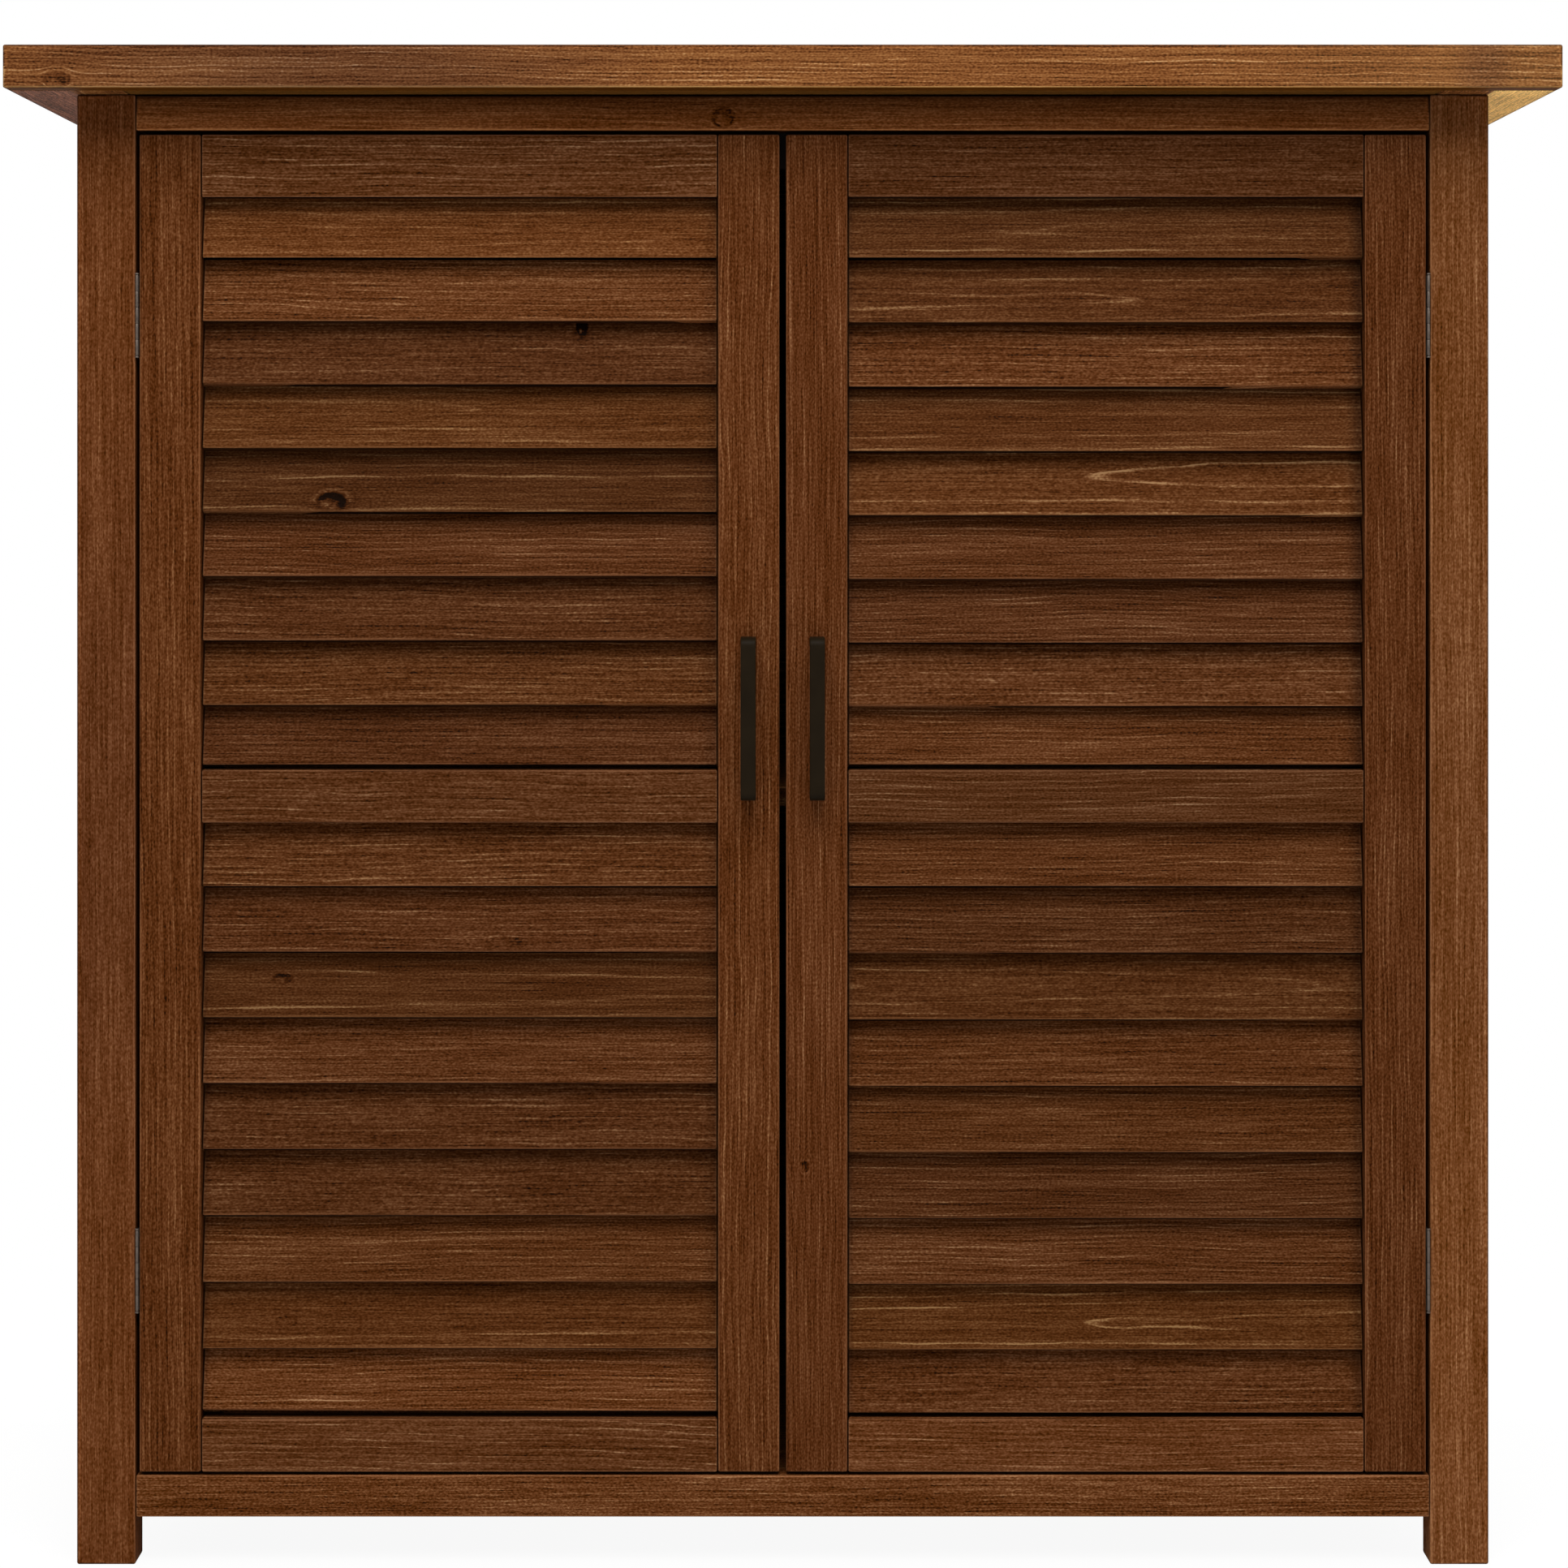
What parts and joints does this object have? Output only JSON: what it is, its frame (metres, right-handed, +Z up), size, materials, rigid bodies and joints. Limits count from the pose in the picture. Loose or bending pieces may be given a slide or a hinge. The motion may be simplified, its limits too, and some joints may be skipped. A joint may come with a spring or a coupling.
{
  "type": "garden storage cabinet",
  "caption": "Free-standing outdoor storage cabinet of stained wood, with a flat overhanging plank top, two hinged louvred doors with bar handles, an inner shelf and short post feet.",
  "frame": {"origin": "on the ground, under the middle of the top board's outline", "axes": "+Z up, +X along the width towards the right door, -Y towards the viewer in front of the doors"},
  "size_m": [0.971, 0.465, 0.957],
  "materials": {
    "timber": "brown stained fir, open grain",
    "top_timber": "lighter brown stained fir",
    "inner_timber": "brown stained fir, thin coat",
    "steel": "zinc plated, dull",
    "handle_coating": "satin black powder coat",
    "catch_plastic": "moulded, matt"
  },
  "bodies": {
    "cabinet": {"top_front_fascia": "top_timber", "top_rear_fascia": "top_timber", "top_left_end": "top_timber", "top_right_end": "top_timber", "top_planks": "top_timber", "front_left_post": "timber", "front_right_post": "timber", "rear_left_post": "timber", "rear_right_post": "timber", "front_top_rail": "timber", "front_bottom_rail": "timber", "rear_top_rail": "timber", "rear_bottom_rail": "timber", "left_top_rail": "timber", "left_bottom_rail": "timber", "left_side_panel": "timber", "right_top_rail": "timber", "right_bottom_rail": "timber", "right_side_panel": "timber", "back_panel": "timber", "floor_board": "inner_timber", "shelf_board": "inner_timber", "left_shelf_batten": "inner_timber", "right_shelf_batten": "inner_timber", "left_upper_hinge_post_leaf": "steel", "left_upper_hinge_pin": "steel", "left_lower_hinge_post_leaf": "steel", "left_lower_hinge_pin": "steel", "right_upper_hinge_post_leaf": "steel", "right_upper_hinge_pin": "steel", "right_lower_hinge_post_leaf": "steel", "right_lower_hinge_pin": "steel", "magnetic_catch": "catch_plastic"},
    "left_door": {"left_door_outer_stile": "timber", "left_door_inner_stile": "timber", "left_door_top_rail": "timber", "left_door_mid_rail": "timber", "left_door_bottom_rail": "timber", "left_door_upper_louvres": "timber", "left_door_lower_louvres": "timber", "left_handle": "handle_coating", "left_handle_lower_screw": "steel", "left_handle_upper_screw": "steel", "left_upper_hinge_door_leaf": "steel", "left_lower_hinge_door_leaf": "steel", "left_strike_plate": "steel"},
    "right_door": {"right_door_outer_stile": "timber", "right_door_inner_stile": "timber", "right_door_top_rail": "timber", "right_door_mid_rail": "timber", "right_door_bottom_rail": "timber", "right_door_upper_louvres": "timber", "right_door_lower_louvres": "timber", "right_handle": "handle_coating", "right_handle_lower_screw": "steel", "right_handle_upper_screw": "steel", "right_upper_hinge_door_leaf": "steel", "right_lower_hinge_door_leaf": "steel", "right_strike_plate": "steel"}
  },
  "joints": [
    {"name": "left_door_hinge", "type": "hinge", "parent": "cabinet", "child": "left_door", "pos_m": [-0.40825, -0.1917, 0.488], "axis": [0, 0, -1], "range_deg": [0, 170]},
    {"name": "right_door_hinge", "type": "hinge", "parent": "cabinet", "child": "right_door", "pos_m": [0.40825, -0.1917, 0.488], "axis": [0, 0, 1], "range_deg": [0, 170]}
  ]
}
